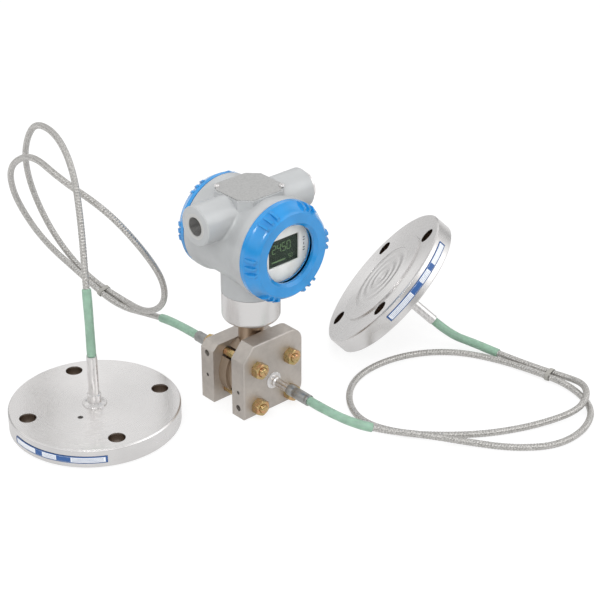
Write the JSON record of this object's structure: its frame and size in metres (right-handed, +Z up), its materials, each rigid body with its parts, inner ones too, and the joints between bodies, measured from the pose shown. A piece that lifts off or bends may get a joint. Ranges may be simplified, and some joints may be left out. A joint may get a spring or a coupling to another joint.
{
  "type": "differential pressure transmitter",
  "caption": "Differential pressure transmitter with a local display and remote flanged diaphragm seals on armoured capillaries.",
  "frame": {"origin": "middle of the footprint, on the surface that the process heads and the flat seal stand on", "axes": "+Z up; the display looks along -Y; the open conduit entry faces -X; the flat seal's process face looks along -Z"},
  "size_m": [0.5501, 0.6671, 0.2895],
  "materials": {
    "blasted_steel": "blasted matt",
    "bright_steel": "turned bright",
    "seal_steel": "faced and polished",
    "yellow_zinc": "yellow passivated zinc",
    "gasket": "matt",
    "grey_paint": "satin, fine texture",
    "blue_paint": "gloss",
    "window_glass": "clear",
    "rubber": "matt",
    "circuit_board": "satin",
    "dark_plastic": "matt",
    "white_plastic": "satin",
    "liquid_crystal": "gloss",
    "terminal_brass": "nickel plated",
    "plate_metal": "brushed",
    "armour": "interlocked strip",
    "green_sleeve": "satin",
    "label_film": "satin",
    "tie_band": "satin"
  },
  "bodies": {
    "root": {"front_head_pipe": "bright_steel", "front_process_head": "blasted_steel", "head_gaskets": "gasket", "head_nuts": "yellow_zinc", "head_studs": "yellow_zinc", "high_head_sleeve": "green_sleeve", "high_hose": "armour", "high_seal_diaphragm": "bright_steel", "high_seal_flange": "seal_steel", "high_seal_label": "label_film", "high_seal_neck": "bright_steel", "high_seal_plug": "bright_steel", "high_seal_sleeve": "green_sleeve", "high_tie": "tie_band", "low_head_sleeve": "green_sleeve", "low_hose": "armour", "low_seal_diaphragm": "bright_steel", "low_seal_flange": "seal_steel", "low_seal_label": "label_film", "low_seal_neck": "bright_steel", "low_seal_plug": "bright_steel", "low_seal_sleeve": "green_sleeve", "low_tie": "tie_band", "measuring_cell": "blasted_steel", "neck_collar": "bright_steel", "rear_head_pipe": "bright_steel", "rear_process_head": "blasted_steel", "vent_screws": "bright_steel"},
    "housing": {"housing": "grey_paint", "name_plate": "plate_metal", "name_plate_screws": "bright_steel", "conduit_plug": "bright_steel", "circuit_board": "circuit_board", "electronics_can": "dark_plastic", "display_screen": "liquid_crystal", "display_bezel": "white_plastic", "terminal_block": "dark_plastic", "terminal_screws": "terminal_brass"},
    "front_cover_ring": {"front_cover_seal": "rubber"},
    "front_cover": {"front_cover": "blue_paint", "window_glass": "window_glass", "window_ring": "blue_paint"},
    "rear_cover_ring": {"rear_cover_seal": "rubber"},
    "rear_cover": {"rear_cover": "blue_paint"}
  },
  "joints": [
    {"name": "housing_turn", "type": "hinge", "parent": "root", "child": "housing", "pos_m": [-0.013, -0.0339, 0.137], "axis": [0, 0, 1], "range_deg": [-180, 180]},
    {"name": "front_cover_travel", "type": "slide", "parent": "housing", "child": "front_cover_ring", "axis": [0, -1, 0], "range_m": [0, 0.0091]},
    {"name": "front_cover_turn", "type": "hinge", "parent": "front_cover_ring", "child": "front_cover", "pos_m": [-0.013, -0.0829, 0.204], "axis": [0, -1, 0], "range_deg": [0, 2160]},
    {"name": "rear_cover_travel", "type": "slide", "parent": "housing", "child": "rear_cover_ring", "axis": [0, 1, 0], "range_m": [0, 0.0091]},
    {"name": "rear_cover_turn", "type": "hinge", "parent": "rear_cover_ring", "child": "rear_cover", "pos_m": [-0.013, 0.0131, 0.204], "axis": [0, 1, 0], "range_deg": [0, 2160]}
  ],
  "couplings": [
    {"joint": "front_cover_travel", "follows": "front_cover_turn", "m_per_rad": 0.00023873},
    {"joint": "rear_cover_travel", "follows": "rear_cover_turn", "m_per_rad": 0.00023873}
  ]
}
